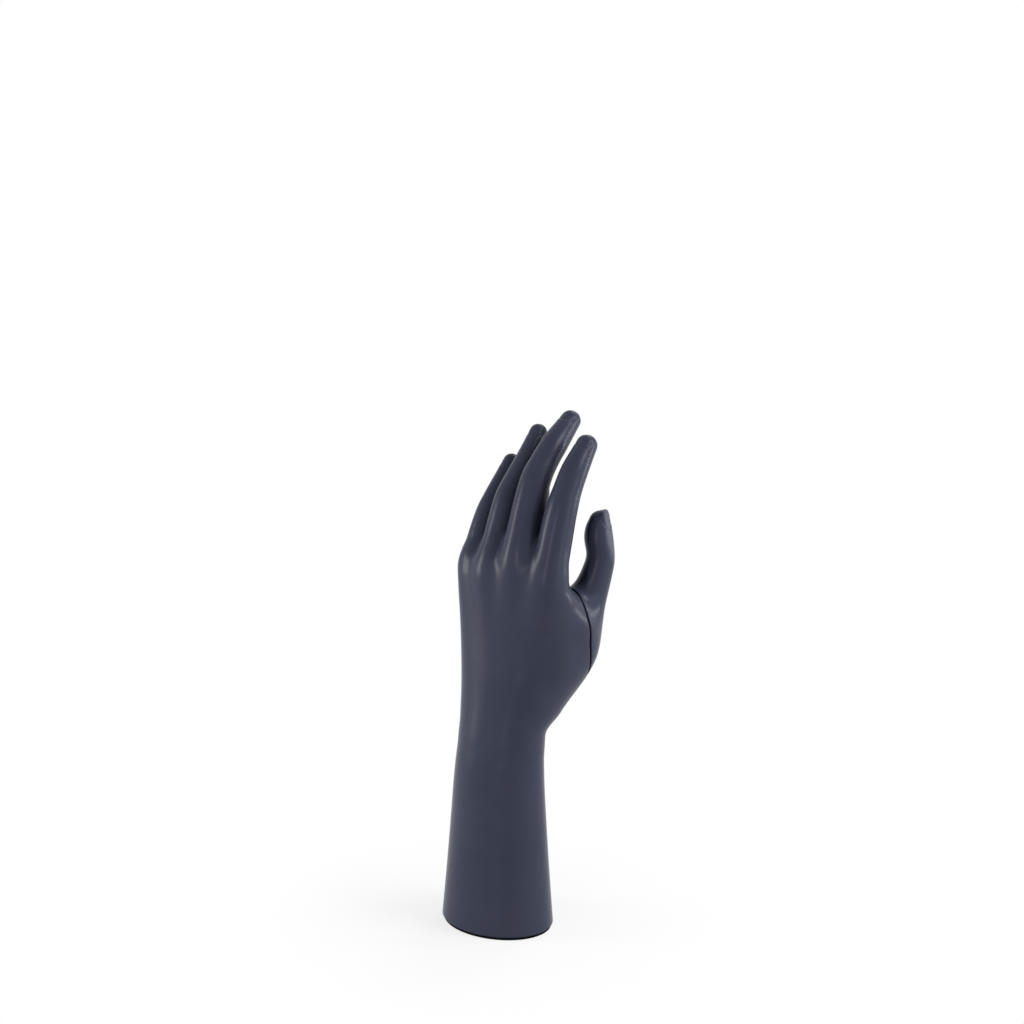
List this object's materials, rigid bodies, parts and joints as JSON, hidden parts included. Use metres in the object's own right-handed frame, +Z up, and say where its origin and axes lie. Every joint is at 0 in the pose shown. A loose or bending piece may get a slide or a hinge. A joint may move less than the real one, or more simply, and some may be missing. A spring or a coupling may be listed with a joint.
{
  "type": "hand mannequin",
  "caption": "Upright left hand on its forearm for showing gloves or rings, with gently bent fingers and a pull-off thumb that pins locate and magnets hold.",
  "frame": {"origin": "centre of the oval foot's underside", "axes": "+Z up the forearm, +X to the thumb side, +Y to the palm side, so -Y looks from the back of the hand"},
  "size_m": [0.0868, 0.0903, 0.3118],
  "materials": {
    "paint": "satin slate grey paint",
    "joint_plate": "milled",
    "magnet": "nickel plated",
    "fastener": "zinc plated",
    "foot_plastic": "moulded",
    "pad_rubber": "matt"
  },
  "bodies": {
    "hand": {"hand_shell": "paint", "hand_joint_plate": "joint_plate", "hand_magnet": "magnet", "hand_plate_screws": "fastener", "foot_plate": "foot_plastic", "foot_screws": "fastener", "foot_pad": "pad_rubber"},
    "thumb": {"thumb_shell": "paint", "thumb_joint_plate": "joint_plate", "thumb_magnet": "magnet", "thumb_plate_screws": "fastener", "locating_pins": "fastener"}
  },
  "joints": [
    {"name": "thumb_pull", "type": "slide", "parent": "hand", "child": "thumb", "axis": [0.4203, 0.9013, 0.1045], "range_m": [0, 0.06]}
  ]
}
